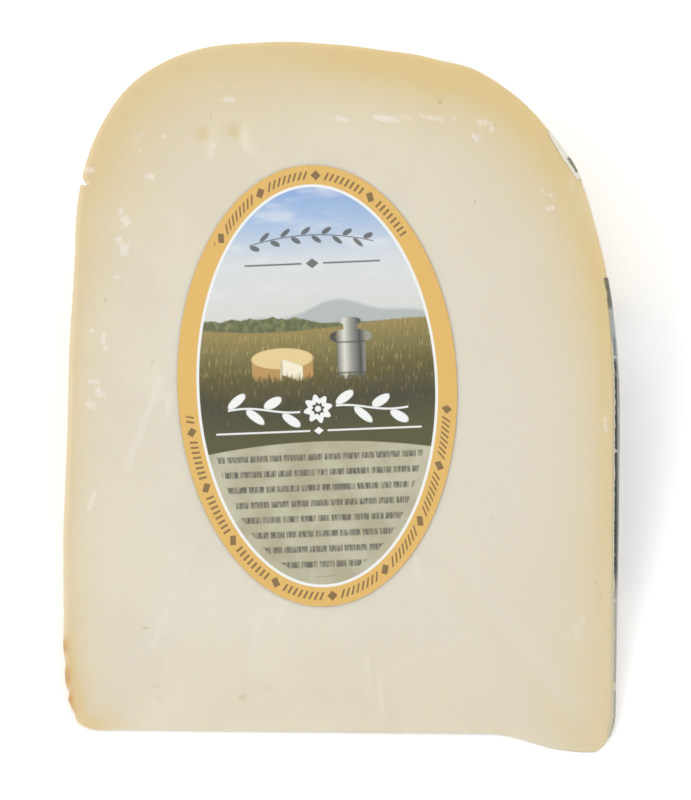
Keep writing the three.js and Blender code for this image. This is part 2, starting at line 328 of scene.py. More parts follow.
# Each tint is spread round the outline from the columns nearest to the places that it is given at.
tints = np.array(RIND_TINTS)
nearest = np.hypot(outline.x - tints[:, :1], outline.r - tints[:, 1:2]).argmin(axis=1)
strength, full_depth, fade, far_tint = (
    np.interp(np.arange(OUTLINE_COLUMNS), nearest, tints[:, i], period=OUTLINE_COLUMNS) for i in range(2, 6)
)
near_glow = strength * np.exp(-np.maximum(to_rind - full_depth, 0) / fade)
far_glow = far_tint * np.interp(to_rind, FAINT_TINT_DEPTHS, (1, 0))
# The pits are painted golden-brown, most at their upper left where shade falls in them: painted shade.
pit_painted_shade = 0.5 * sum(bell(x, r, at_x - 0.3, at_r + 0.3, 1.2) for at_x, at_r, depth, _ in PITS if depth > 0)
toasted = sum(much * bell(x, r, at_x, at_r, reach) for at_x, at_r, reach, much in TOASTED)
has_rind = np.interp(outline.r, RIND_R, (0, 1))

# The rind's tint reading also carries the pits' painted shade.
cheese = closed_skin("cheese", on_wheel(x, r, turn), {
    "rind_glow": near_glow + far_glow + pit_painted_shade,
    "rind": np.clip(1 - 2 * ring_facing, 0, 1) * has_rind,
    "toasted": toasted * np.exp(-to_rind / TOASTED_DEPTH),
})


# How brightly the studio lights the upper cut face: a white card lying there would look this bright.
LIGHT_LEVEL = 1.3


def seen(red, green, blue):
    """The colour, as linear numbers, that looks like this, 0 to 255, under the studio's light."""
    share = np.array([red, green, blue]) / 255
    linear = np.where(share <= 0.04045, share / 12.92, ((share + 0.055) / 1.055) ** 2.4)
    return (*(linear / LIGHT_LEVEL).tolist(), 1)


def on_terms(operation):
    """A method that adds the Math node for an operation on a reading and what it is called with."""
    return lambda reading, *others: reading.maths(operation, reading, *others)


class Reading:
    """What a node gives. An expression on readings adds the Math nodes that work it out."""

    def __init__(self, finish, socket):
        self.finish = finish
        self.socket = socket

    def output(self, identifier):
        """Another output of the same node."""
        sockets = self.socket.node.outputs
        return Reading(self.finish, next(s for s in sockets if s.identifier == identifier))

    def maths(self, operation, *terms):
        sockets = dict(zip(("Value", "Value_001"), terms))
        return self.finish.node("ShaderNodeMath", sockets, operation=operation)

    def __rsub__(self, other):
        return self.maths("SUBTRACT", other, self)

    __add__ = __radd__ = on_terms("ADD")
    __sub__ = on_terms("SUBTRACT")
    __mul__ = __rmul__ = on_terms("MULTIPLY")
    __truediv__ = on_terms("DIVIDE")
    __pow__ = on_terms("POWER")
    __abs__ = on_terms("ABSOLUTE")
    least, most = on_terms("MINIMUM"), on_terms("MAXIMUM")
    whole, sine = on_terms("FLOOR"), on_terms("SINE")
    arctan2 = on_terms("ARCTAN2")

    def rise(self, low, high):
        """0 at low, 1 at high, and smooth between them."""
        sockets = {"Value": self, "From Min": low, "From Max": high}
        return self.finish.node("ShaderNodeMapRange", sockets, interpolation_type="SMOOTHSTEP")


class Finish:
    """A material, made node by node."""

    def __init__(self, name):
        self.material = bpy.data.materials.new(name)
        self.material.use_nodes = True
        self.tree = self.material.node_tree
        self.tree.nodes.clear()

    def node(self, kind, sockets=None, **settings):
        """Adds a node: its settings are set first, then the values or links of its sockets."""
        node = self.tree.nodes.new(kind)
        for name, value in settings.items():
            if name == "stops":
                self.set_stops(node.color_ramp.elements, value)
            else:
                setattr(node, name, value)
        for identifier, value in (sockets or {}).items():
            socket = next(s for s in node.inputs if s.identifier == identifier)
            if isinstance(value, Reading):
                self.tree.links.new(value.socket, socket)
            else:
                socket.default_value = value
        return Reading(self, node.outputs[0])

    def set_stops(self, elements, stops):
        while len(elements) < len(stops):
            elements.new(1)
        for element, (place, colour) in zip(elements, stops):
            element.position = place
            element.color = colour

    def reading(self, name, output="Fac"):
        """A number that the mesh keeps at its vertices."""
        return self.node("ShaderNodeAttribute", attribute_name=name).output(output)

    def parts(self, vector):
        """The x, y and z of a vector."""
        first = self.node("ShaderNodeSeparateXYZ", {"Vector": vector})
        return first, first.output("Y"), first.output("Z")

    def scaled(self, vector, *factors):
        """A vector with each of its parts times its own factor."""
        sockets = {"Vector": vector, "Vector_001": factors}
        return self.node("ShaderNodeVectorMath", sockets, operation="MULTIPLY")

    def place(self):
        """The place on the object in millimetres."""
        return self.scaled(self.node("ShaderNodeTexCoord").output("Object"), 1000, 1000, 1000)

    def noise(self, place, size, detail=3, roughness=0.5):
        """Soft noise, 0 to 1, with features of about size in the place's own units."""
        sockets = {"Vector": place, "Scale": 1 / size, "Detail": detail, "Roughness": roughness}
        return self.node("ShaderNodeTexNoise", sockets)

    def blend(self, mask, under, over):
        """The colour under where mask is 0, and the colour over where it is 1."""
        sockets = {"Factor_Float": mask, "A_Color": under, "B_Color": over}
        return self.node("ShaderNodeMix", sockets, data_type="RGBA").output("Result_Color")

    def ramp(self, value, *stops):
        """A colour from stops of (place, colour)."""
        return self.node("ShaderNodeValToRGB", {"Fac": value}, stops=stops)

    def bumps(self, height, distance):
        """A surface direction tilted by a height that is worth distance, in metres."""
        return self.node("ShaderNodeBump", {"Height": height, "Distance": distance})

    def output(self, shader):
        """Makes a shader the finish of the surface."""
        end = self.tree.nodes.new("ShaderNodeOutputMaterial")
        self.tree.links.new(shader.socket, end.inputs["Surface"])
        return self.material

    def surface(self, sockets):
        """Makes one Principled shader the finish of the surface."""
        return self.output(self.node("ShaderNodeBsdfPrincipled", sockets))


PASTE = seen(223, 217, 198)
# The duller paste: the paste's own patches, and painted shade towards the right.
PASTE_MOTTLE_AND_SHADE = seen(219, 212, 194)
GOLDEN = seen(216, 192, 133)
# The rind's tint at the left, painted lighter: painted light from the left lamp.
GOLDEN_PAINTED_LIT_LEFT = seen(217, 195, 145)
RIND = seen(214, 190, 138)
RIND_DARK = seen(200, 172, 116)
TOAST = seen(196, 146, 76)
SPOT = seen(196, 176, 130)


def cheese_finish():
    """Paste with a soft inner glow, tinted towards the rind, under the shine of the clinging film; painted
    shade in the pits and at the right, painted light at the left rim.
    """
    finish = Finish("cheese_paste_and_rind")
    place = finish.place()
    patches = finish.noise(place, 16)
    grain = finish.noise(place, 1.1, roughness=0.6)
    ripple = finish.noise(place, 5, detail=1)
    across, along, _ = finish.parts(place)
    # The patches take the duller paste, and so does the right side, as painted shade away from the left lamp.
    paste = finish.blend(patches.rise(0.35, 0.65).most(across.rise(0, 32)), PASTE, PASTE_MOTTLE_AND_SHADE)
    # The rind's own tint, with the pits' painted shade in it.
    tint_and_pit_shade = finish.reading("rind_glow") * (0.94 + 0.12 * patches)
    # The rind's tint is painted lighter towards the left: painted light from the left lamp.
    golden = finish.blend(across.rise(-46, -14), GOLDEN_PAINTED_LIT_LEFT, GOLDEN)
    cut_face = finish.blend(tint_and_pit_shade.least(1), paste, golden)
    for x, r, half_width, half_height, much in SPOTS:
        at_x, at_y, _ = on_wheel(x, r, WEDGE_ANGLE) / MM
        away = ((across - at_x) / half_width) ** 2 + ((along - at_y) / half_height) ** 2
        cut_face = finish.blend(away.rise(1.6, 0) * much, cut_face, SPOT)
    rind = finish.blend(finish.noise(place, 4, detail=4).rise(0.42, 0.75) * 0.55, RIND, RIND_DARK)
    colour = finish.blend(finish.reading("rind"), cut_face, rind)
    toast = finish.reading("toasted") * (0.7 + 0.6 * grain)
    colour = finish.blend(toast.least(0.92), colour, TOAST)
    return finish.surface({
        "Base Color": colour,
        "Roughness": 0.38 + 0.12 * grain,
        "Normal": finish.bumps(0.3 * grain + 0.7 * ripple, 0.0002),
        "Subsurface Weight": 0.35,
        "Subsurface Radius": (1, 0.65, 0.3),
        "Subsurface Scale": 0.003,
        "Specular IOR Level": 0.4,
        "Coat Weight": 0.35,
        "Coat Roughness": 0.12,
    })


cheese.data.materials.append(cheese_finish())
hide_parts("wrapped_wedge")
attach(cheese, "root")

# The rind label: a round label that was stuck on the whole wheel's flank and cut through with the
# wedge, thin printed paper, dark, with lighter bands towards its outer edge. It lies on the rind
# under the film and wraps a little way round the cut edge, where the cut left it ragged.

RIND_LABEL_R = (5, 88.8)
LABEL_TOP_INSET, LABEL_UNDER_INSET = 0.06, 0.15
LABEL_DOWN = 0.03
LABEL_TO_LOWER_EDGE = 1
LABEL_STEPS_ALONG, LABEL_STEPS_DOWN, BEND_STEPS = 260, 24, 7
# Where the cut tore the label's edge away: r, how far, and how far along.
TORN_PLACES = [(86.1, 0.1, 0.5), (68, 0.05, 0.5), (66.1, 0.07, 0.4), (64.3, 0.05, 0.5), (61.9, 0.06, 0.5),
               (57.4, 0.08, 0.3), (53, 0.04, 0.8), (33, 0.04, 1), (24, 0.04, 1), (14.4, 0.1, 0.6)]


def flank_outline(start, end, steps):
    """The right flank from r = start to r = end, with x read off the wheel's outline."""
    least_x = np.where(wheel_outline[:, 1] > RIGHT_FOOT[1], 20, TIP_SAG[0])
    right = wheel_outline[wheel_outline[:, 0] > least_x]
    right = right[right[:, 1].argsort()]
    r = np.linspace(start, end, steps + 1)
    return Outline(np.interp(r, right[:, 1], right[:, 0]), r, False)


def flank_label(name, outline, down_from, depth_to, steps_round):
    """A thin label over the cut edge and down the flank, from down_from to depth_to below the face.

    Over the rounding a place follows the quarter circle cut = 1 - sin, down = 1 - cos, with the cut
    face's relief, and below that it goes straight down the flank. The top and under sides are two
    insets of the same places."""
    begin = np.arccos(np.clip(1 - down_from / outline.rounding, -1, 1))
    bend = np.linspace(0, 1, BEND_STEPS)[:, None]
    angle = begin + (math.pi / 2 - begin) * bend
    flank = np.linspace(0, 1, steps_round)[1:, None]
    below = (depth_to - outline.rounding) * flank
    cut = np.concatenate([1 - np.sin(angle), 0 * below]) * outline.rounding
    depth = np.concatenate([(1 - np.cos(angle)) * outline.rounding, outline.rounding + below])
    run_round = (angle - begin) * outline.rounding
    run = np.concatenate([run_round, run_round[-1] + below])
    facing = np.concatenate([np.cos(angle), 0 * below])

    def side(inset):
        inwards = cut + inset * (1 - facing)
        x = outline.x - outline.out_x * inwards
        r = outline.r - outline.out_r * inwards
        turn = WEDGE_ANGLE - (depth + inset * facing) / outline.r
        return on_wheel(x, r, turn + facing * face_relief(x, r) / r)

    reading = np.stack([np.broadcast_to(outline.r, depth.shape), depth, run], axis=-1)
    return thin_sheet(name, side(LABEL_TOP_INSET), side(LABEL_UNDER_INSET), reading)


def thin_sheet(name, top, under, reading):
    """A closed sheet between two grids of places: quads on both, and a wall round their border."""
    rows, columns = top.shape[:2]
    index = np.arange(rows * columns).reshape(rows, columns)
    quads = np.stack([index[:-1, :-1], index[1:, :-1], index[1:, 1:], index[:-1, 1:]], axis=-1).reshape(-1, 4)
    border = np.concatenate([index[0, :-1], index[:-1, -1], index[-1, :0:-1], index[:0:-1, 0]])
    after = np.roll(border, -1)
    wall = np.stack([border, after, after + index.size, border + index.size], axis=1)
    faces = quads.tolist() + (quads[:, ::-1] + index.size).tolist() + wall.tolist()
    vertices = np.concatenate([top.reshape(-1, 3), under.reshape(-1, 3)])
    readings = np.concatenate([reading.reshape(-1, 3)] * 2)
    return finish_piece(name, vertices, faces, {"print_mm": readings}, math.radians(60))


label_outline = flank_outline(*RIND_LABEL_R, LABEL_STEPS_ALONG)
torn = sum(far * np.exp(-(((label_outline.r - at) / reach) ** 2)) for at, far, reach in TORN_PLACES)
ragged = 0.012 * np.sin(label_outline.r * 5.1) + 0.01 * np.sin(label_outline.r * 11.7 + 1)
rind_label = flank_label(
    "rind_label_print", label_outline, LABEL_DOWN + ragged + torn,
    np.maximum(label_outline.thickness - LABEL_TO_LOWER_EDGE, label_outline.rounding + 0.05),
    LABEL_STEPS_DOWN,
)

OUTER_BAND = seen(104, 102, 84)
PALE_BAND = seen(158, 165, 160)
MIDDLE_BAND = seen(112, 122, 124)
GREEN_BAND = seen(112, 118, 98)
CHARCOAL = seen(36, 38, 36)
PALE_GREY = seen(164, 163, 145)
LABEL_LINE = seen(206, 206, 194)
TORN_PAPER = seen(206, 199, 178)
# The bands, outwards: the r where one begins, the r where it is full, and its colour.
BANDS = [(73.2, 74, MIDDLE_BAND), (77.2, 79.2, PALE_BAND), (82.8, 83.8, OUTER_BAND)]
# The thin pale rings: r and half width.
PALE_RINGS = [(14.3, 0.7), (30, 0.2), (57.2, 0.2), (74.4, 0.2)]
GREEN_RING_R = 71.2
DOTS_R = 65
DOTS_PER_RADIAN = 60


def rind_label_finish():
    """Bands of plain colour round the wheel's axis, thin pale rings, and a ring of small dots."""
    finish = Finish("rind_label_print")
    r, depth, run = finish.parts(finish.reading("print_mm", "Vector"))
    worn = finish.noise(finish.place(), 0.8)
    colour = finish.blend((r + 3 * worn).rise(38, 31), CHARCOAL, PALE_GREY)
    colour = finish.blend(abs(r - GREEN_RING_R).rise(0.6, 0.3) * 0.8, colour, GREEN_BAND)
    for begins, full, band in BANDS:
        colour = finish.blend(r.rise(begins, full), colour, band)
    for ring, half_width in PALE_RINGS:
        on_ring = abs(r - ring).rise(half_width + 0.1, half_width - 0.1)
        colour = finish.blend(on_ring * 0.7, colour, LABEL_LINE)
    along = (depth / r) * DOTS_PER_RADIAN
    dots = ((along - along.whole() - 0.5) * 1.4) ** 2 + (r - DOTS_R) ** 2
    colour = finish.blend(dots.rise(0.5, 0.3) * run.rise(2.2, 2.6), colour, LABEL_LINE)
    colour = finish.blend(worn.rise(0.6, 0.8) * 0.3, colour, LABEL_LINE)
    colour = finish.blend((run - 0.4 * worn).rise(0.16, 0.04) * r.rise(79, 76), colour, TORN_PAPER)
    return finish.surface({
        "Base Color": colour,
        "Roughness": 0.35 + 0.2 * worn,
        "Normal": finish.bumps(worn, 0.00005),
        "Specular IOR Level": 0.25,
    })


rind_label.data.materials.append(rind_label_finish())
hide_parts("rind_label")
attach(rind_label, "root")

# The shoulder tag: a small white tag on the wheel's shoulder, with a dark green bar printed on it.
# It was stuck on the rind before the wheel was cut, and lies under the film.

TAG_R = (106.8, 115.6)
TAG_TURN_SHARE = 0.45
TAG_DOWN = 0.06
TAG_STEPS_ALONG, TAG_STEPS_DOWN = 48, 14

tag_outline = flank_outline(*TAG_R, TAG_STEPS_ALONG)
shoulder_tag = flank_label(
    "shoulder_tag_print", tag_outline, TAG_DOWN + 0.012 * np.sin(tag_outline.r * 2.3),
    tag_outline.thickness * TAG_TURN_SHARE, TAG_STEPS_DOWN,
)

TAG_WHITE = seen(230, 224, 208)
TAG_GREEN = seen(112, 110, 80)
TAG_BAR_R = (108.2, 110.9)
TAG_BAR_DEPTH = (0.38, 1.9)


def tag_finish():
    """White paper with a green bar: 1 inside the bar's r and depth, and 0 outside them."""
    finish = Finish("shoulder_tag_print")
    r, depth, _ = finish.parts(finish.reading("print_mm", "Vector"))
    fibre = finish.noise(finish.place(), 0.5)
    bar = abs(r - sum(TAG_BAR_R) / 2) - (TAG_BAR_R[1] - TAG_BAR_R[0]) / 2
    bar = bar.most(abs(depth - sum(TAG_BAR_DEPTH) / 2) - (TAG_BAR_DEPTH[1] - TAG_BAR_DEPTH[0]) / 2)
    colour = finish.blend((bar + (fibre - 0.5) * 0.4).rise(0.2, -0.2), TAG_WHITE, TAG_GREEN)
    return finish.surface({
        "Base Color": colour,
        "Roughness": 0.45 + 0.1 * fibre,
        "Normal": finish.bumps(fibre, 0.00004),
        "Specular IOR Level": 0.45,
    })


shoulder_tag.data.materials.append(tag_finish())
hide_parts("shoulder_tag")
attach(shoulder_tag, "root")

# The film: a thin clear plastic skin, drawn tight round the cheese and its flank labels by a vacuum.
# It lies in low creases near the oval label and towards the tip, and shows whitish flecks
# where small air pockets keep it off the paste. The creases are painted whiter: partly the film lying
# double, partly painted highlights for glints on their ridges and the lit rims of the pits by the rim.

OVAL_X, OVAL_R = -4, 69.1
OVAL_HALF_WIDTH, OVAL_HALF_HEIGHT = 25.6, 40.35
OVAL_COSINE, OVAL_SINE = math.cos(math.radians(2.3)), math.sin(math.radians(2.3))
# Creases: x and r of both ends, then half width, height, and how white they are painted, partly as painted
# highlight.
CREASES = [
    (-32.7, 70.2, -38.7, 54.6, 0.65, 0.1, 0.6), (-30.7, 67.2, -31.8, 63.4, 0.5, 0.14, 0.8),
    (-26.3, 40.9, -32.5, 24.8, 0.55, 0.08, 0.22), (-32.5, 24.8, -34.2, 21.2, 0.5, 0.1, 0.45),
    (-14.4, 26.3, -16.1, 20.1, 0.6, 0.12, 0.35), (-10.2, 27.6, -11.3, 26.2, 0.4, 0.08, 0.5),
    (-8.6, 27.2, -7.9, 8, 0.5, 0.05, 0.16), (2.9, 28.1, 2, 18.1, 0.6, 0.06, 0.2),
    (5.1, 19, 5.7, 12.6, 0.6, 0.12, 0.4), (7.5, 16.2, 7.9, 8, 0.6, 0.14, 0.45),
    (15.2, 26.3, 14.8, 19, 0.6, 0.05, 0.18), (14.3, 37.3, 14.8, 33.6, 0.5, 0.14, 0.6),
    # The whiteness of the second crease on the next line is a painted glint.
    (20.5, 28.5, 20.2, 26.5, 0.4, 0.05, 0.35), (-44.8, 49.8, -45.9, 46.3, 0.45, 0.15, 0.9),
    (44.6, 26.6, 43.3, 24.8, 0.4, 0.08, 0.6), (43.3, 24.8, 43.8, 22.6, 0.4, 0.08, 0.5),
    (43.1, 25.4, 41.3, 22.7, 0.4, 0.08, 0.35), (34, 14.4, 33.3, 11, 0.6, 0.06, 0.2),
    # The next four creases are painted highlights: the lit rims of the pits by the rim.
    (-23.2, 113.4, -23.6, 110.9, 0.55, 0.15, 0.9), (-17.6, 114.4, -16.9, 112.3, 0.4, 0.1, 0.5),
    (-16.9, 112.3, -15.6, 111.6, 0.45, 0.1, 0.75), (-15.6, 111.6, -14.9, 113.1, 0.4, 0.1, 0.55),
    (-29.1, 100.2, -29.2, 95.6, 0.5, 0.08, 0.35), (42.5, 106.6, 42.7, 104.8, 0.45, 0.08, 0.35),
    (48.6, 63, 48.8, 60.8, 0.4, 0.08, 0.8), (45.9, 101.4, 47, 96.4, 0.4, 0.06, 0.25),
]
# Flecks: x, r, half length along x, half length along r, and how white they look.
FLECKS = [
    (-40.2, 101.1, 0.7, 0.6, 1), (-39.2, 99.5, 1.1, 0.6, 1), (-38.9, 98.7, 0.4, 0.7, 0.9),
    (-40.5, 96, 0.7, 0.7, 0.9), (-39.4, 94.6, 1.1, 0.7, 0.9), (-39.5, 93.4, 0.8, 0.7, 0.9),
    (-40.8, 89, 0.9, 0.5, 0.8), (-38.8, 87.2, 1.2, 0.4, 0.6), (-34.6, 107.4, 1.1, 0.7, 0.9),
    (-35.4, 102, 1, 0.5, 0.5), (-36.2, 115.1, 0.9, 0.5, 0.7), (-37.5, 114, 0.6, 0.6, 0.7),
    (-32.3, 114.8, 0.7, 0.5, 0.8), (-36.4, 112.3, 0.6, 0.5, 0.6), (-40.8, 114.4, 0.4, 0.4, 0.5),
    (-31.5, 119, 0.9, 0.35, 0.4), (-29.5, 117.4, 0.8, 0.6, 0.5), (-45.8, 108.7, 1, 0.6, 1),
    (-46.2, 106.2, 0.5, 0.35, 0.9), (-45.4, 79.1, 0.8, 0.5, 0.7), (-43.2, 78, 0.5, 1.2, 0.8),
    (-42.9, 76.1, 0.5, 0.7, 0.8), (-45.7, 69.8, 0.7, 0.5, 0.8), (-44.4, 70, 0.7, 0.6, 0.8),
    (-44.3, 68, 0.7, 0.9, 0.9), (-43.2, 67.6, 0.8, 0.5, 0.8), (-45.9, 65.9, 0.7, 0.6, 0.9),
    (-45, 65.3, 0.9, 0.5, 1), (-20.1, 121.5, 1.5, 0.6, 0.9), (-5.4, 118.2, 0.5, 0.5, 0.4),
    (-13.2, 118.1, 0.8, 0.4, 0.4), (0.5, 117.9, 1.5, 0.5, 0.9), (2.9, 117.9, 0.3, 0.3, 0.6),
    (7.4, 117.9, 1.5, 0.4, 0.9), (9.6, 118, 1.8, 0.5, 1), (12, 117.9, 1.3, 0.4, 0.9),
    (16.2, 117.9, 1.5, 0.45, 0.8), (15.3, 118.6, 0.5, 0.4, 0.7), (18.6, 117.8, 1.2, 0.4, 0.7),
    (20.9, 117.7, 1, 0.4, 0.6), (26.3, 117.1, 1.5, 0.7, 0.8), (28, 115.9, 0.6, 0.9, 0.7),
    (24.9, 114.6, 1.5, 0.45, 0.8), (25.4, 113.6, 0.5, 0.8, 0.8), (24, 112.1, 0.5, 0.5, 0.8),
    (29.5, 117.7, 0.6, 0.5, 0.45), (21.7, 121.8, 0.3, 0.5, 0.5), (19, 125.7, 0.4, 0.3, 0.45),
    (35.4, 111.2, 0.3, 0.9, 0.4), (38.8, 103.8, 1.1, 0.35, 0.8), (38.6, 101.5, 1.2, 0.5, 1),
    (37.2, 104.8, 0.7, 0.7, 0.45), (17.4, 100.6, 0.6, 0.5, 0.5), (-47.9, 48.6, 0.3, 0.8, 0.4),
    (-47, 56.1, 0.35, 0.25, 0.6), (43.4, 92.5, 0.4, 0.3, 0.45), (45.4, 12.1, 0.5, 0.35, 0.5),
    (48.9, 72.5, 0.3, 0.5, 0.4),
]


def from_oval(x, r):
    """How far out a place is in ovals of the label's size: 1 is the label's edge."""
    along = (x - OVAL_X) * OVAL_COSINE + (r - OVAL_R) * OVAL_SINE
    up = (r - OVAL_R) * OVAL_COSINE - (x - OVAL_X) * OVAL_SINE
    return np.hypot(along / OVAL_HALF_WIDTH, up / OVAL_HALF_HEIGHT)


def creases(x, r, value):
    """The largest of the creases: each is value(height, white) times exp(-distance^2 / width^2)."""
    most = np.zeros(np.broadcast(x, r).shape)
    for x0, r0, x1, r1, width, height, white in CREASES:
        run = np.array([x1 - x0, r1 - r0])
        along = np.clip(((x - x0) * run[0] + (r - r0) * run[1]) / (run @ run), 0, 1)
        away = (x - x0 - along * run[0]) ** 2 + (r - r0 - along * run[1]) ** 2
        most = np.maximum(most, value(height, white) * np.exp(-away / width**2))
    return most


def film_lift(x, r):
    """The creases' height, pressed flat under the oval label."""
    free = np.interp(from_oval(x, r), (1.02, 1.07), (0, 1))
    return creases(x, r, lambda height, white: height) * free


x, r, turn = skin(outline, rings, 0, lift=film_lift)
upper_side = ring_facing * (rings[:, 3, None] < 0.5)
flecks = sum(
    white * np.exp(-(((x - at_x) / across) ** 2) - ((r - at_r) / up) ** 2)
    for at_x, at_r, across, up, white in FLECKS
)
film = closed_skin("film", on_wheel(x, r, turn), {
    "flecks": flecks * upper_side,
    "folded": creases(x, r, lambda height, white: white) * upper_side,
})

FILM_WHITE = (0.93, 0.9, 0.88, 1)


def film_finish():
    """Clear, with a faint veil, whiter where it is flecked or seen nearly along, and painted whiter where it
    is creased, partly as painted highlights.
    """
    finish = Finish("clear_film")
    place = finish.place()
    fine = finish.noise(place, 0.55, roughness=0.6)
    fleck = (1.5 * finish.reading("flecks") + (fine - 0.5) * 0.9).rise(0.25, 1)
    # The creases' whiteness: the doubled film, and painted highlights where ridges and pit rims catch light.
    fold_and_glint = finish.reading("folded") * (0.6 + 0.8 * fine)
    edge_on = finish.node("ShaderNodeLayerWeight", {"Blend": 0.5}).output("Facing") ** 5
    cover = (0.02 + edge_on * 0.22 + fleck * 0.3 + fold_and_glint * 0.34).least(0.85)
    clear = finish.node("ShaderNodeBsdfTransparent")
    surface = finish.node("ShaderNodeBsdfPrincipled", {
        "Base Color": FILM_WHITE,
        "Roughness": 0.12 + 0.1 * fine,
        "Normal": finish.bumps(finish.noise(place, 3.5, detail=1), 0.0001),
        "IOR": 1.6,
    })
    sockets = {"Fac": cover, "Shader": clear, "Shader_001": surface}
    return finish.output(finish.node("ShaderNodeMixShader", sockets))


film.data.materials.append(film_finish())
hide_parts("wrapped_wedge")
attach(film, "root")

# The front label: an oval of coated paper stuck on the film over the upper cut face. A gold border
# runs round a picture of a meadow under the sky, over a pale panel of plain bars.

LABEL_GAP, LABEL_THICKNESS = 0.06, 0.13
OVAL_COLUMNS, OVAL_RINGS = 192, 40


def oval_label():
    """An oval sheet: its top from the middle out, then its under side back in.

    A place is the oval's middle plus share times (half width cos, half height sin), tilted, and it
    lies on the film's own relief."""
    share = np.concatenate([np.linspace(0, 1, OVAL_RINGS + 1), np.linspace(1, 0, OVAL_RINGS + 1)])[:, None]
    height = np.repeat([LABEL_GAP + LABEL_THICKNESS, LABEL_GAP], OVAL_RINGS + 1)[:, None]
    angle = np.arange(OVAL_COLUMNS) * 2 * math.pi / OVAL_COLUMNS
    across = OVAL_HALF_WIDTH * share * np.cos(angle)
    up = OVAL_HALF_HEIGHT * share * np.sin(angle)
    x = OVAL_X + across * OVAL_COSINE - up * OVAL_SINE
    r = OVAL_R + across * OVAL_SINE + up * OVAL_COSINE
    places = on_wheel(x, r, WEDGE_ANGLE + (height + face_relief(x, r)) / r)
    return closed_skin("front_label_print", places, {"label_mm": np.stack([across, up, 0 * up], axis=-1)})


front_label = oval_label()

BORDER_WIDTH = 3.5
WHITE_LINE = 0.5
BORDER_GOLD = seen(221, 179, 98)
PRINT_BROWN = seen(104, 80, 52)
PRINT_WHITE = seen(236, 238, 236)
PRINT_DARK = seen(70, 68, 62)
SKY_TOP, SKY_BLUE = seen(136, 166, 214), seen(164, 188, 218)
SKY_PALE, SKY_LOW = seen(212, 216, 218), seen(212, 212, 204)
FAR_HILLS = seen(160, 170, 170)
TREES, TREES_LIGHT = seen(92, 98, 62), seen(128, 128, 84)
MEADOW_TOP, MEADOW_GOLD = seen(150, 132, 76), seen(128, 118, 66)
MEADOW_DEEP, MEADOW_DARK, MEADOW_LOW = seen(92, 84, 38), seen(64, 60, 38), seen(80, 78, 42)
STALKS = seen(186, 170, 110)
PEWTER, PEWTER_LIGHT, PEWTER_DARK = seen(150, 150, 144), seen(216, 214, 202), seen(66, 66, 62)
WHEEL_TOP, WHEEL_SIDE = seen(224, 200, 142), seen(184, 144, 82)
WHEEL_CUT, WHEEL_SHADE = seen(238, 230, 204), seen(200, 188, 154)
PANEL, PANEL_PALE = seen(172, 166, 138), seen(190, 186, 160)

# The places of the print's parts, in the label's own millimetres from its middle.
CHURN_U, CHURN_FOOT = 6.5, 1.2
WHEEL_U, WHEEL_V = -6.2, 5.2
WHEEL_HALF_WIDTH, WHEEL_HALF_DEPTH, WHEEL_HEIGHT = 5.6, 1.9, 3
DARK_RULE_V, ROSETTE_V, WHITE_RULE_V = 22.4, -4.2, -8.2
BARS_TOP_V, BARS_PITCH, BAR_HALF_HEIGHT = -11.6, 2.8, 0.58
DASH_PITCH, LOZENGE_PITCH = 0.98, 10.78


class LabelPrint(Finish):
    """The oval label's print, in its own millimetres: u to the right, v up from its middle."""

    def __init__(self):
        super().__init__("front_label_print")
        self.label = self.reading("label_mm", "Vector")
        self.u, self.v, _ = self.parts(self.label)

    def lay(self, mask, colour):
        """Prints a colour over the picture so far, where mask is 1."""
        self.picture = self.blend(mask, self.picture, colour)

    def stretched(self, across, up):
        """The place on the label with each way stretched."""
        return self.scaled(self.label, across, up, 1)

    def outside_oval(self, half_width, half_height):
        """Millimetres outside an oval: (q - 1) over the slope of q, where q is its own radius."""
        q = ((self.u / half_width) ** 2 + (self.v / half_height) ** 2) ** 0.5
        slope = ((self.u / half_width**2) ** 2 + (self.v / half_height**2) ** 2) ** 0.5
        return (q - 1) * q / slope.most(0.0001)

    def ellipse(self, at_u, at_v, half_width, half_height):
        """Roughly the millimetres outside an ellipse: its own radius, less 1, times its short half."""
        q = (((self.u - at_u) / half_width) ** 2 + ((self.v - at_v) / half_height) ** 2) ** 0.5
        return (q - 1) * min(half_width, half_height)

    def box(self, at_u, at_v, half_width, half_height):
        """Millimetres outside a box, along u or v, whichever is more."""
        return (abs(self.u - at_u) - half_width).most(abs(self.v - at_v) - half_height)


def within(distance, soft=0.1):
    """1 inside a shape and 0 outside it, from the distance outside it."""
    return distance.rise(soft, -soft)


def print_sky_and_hills(art):
    """A sky that pales downwards, soft clouds, far hills, and a row of trees at the left."""
    u, v = art.u, art.v
    stops = [(0, SKY_LOW), (0.45, SKY_PALE), (0.72, SKY_BLUE), (0.95, SKY_TOP)]
    art.picture = art.ramp((v - 10) / 28, *stops)
    cloud = art.noise(art.stretched(0.5, 1.3), 6, detail=4).rise(0.5, 0.72) * v.rise(14, 20)
    art.lay(cloud * 0.45, PRINT_WHITE)
    hills = 13.6 + 1.5 * (u * 0.17 + 0.6).sine() + 0.6 * (u * 0.41).sine()
    art.lay(within(v - hills, 0.5) * 0.75, FAR_HILLS)
    leafy = art.noise(art.label, 1.1)
    trees = 11.2 + 2.2 * art.noise(art.stretched(1, 0), 3.2, detail=2) * u.rise(2, -4) + 0.5 * leafy
    art.lay(within(v - trees, 0.15), art.blend(leafy.rise(0.4, 0.7), TREES, TREES_LIGHT))


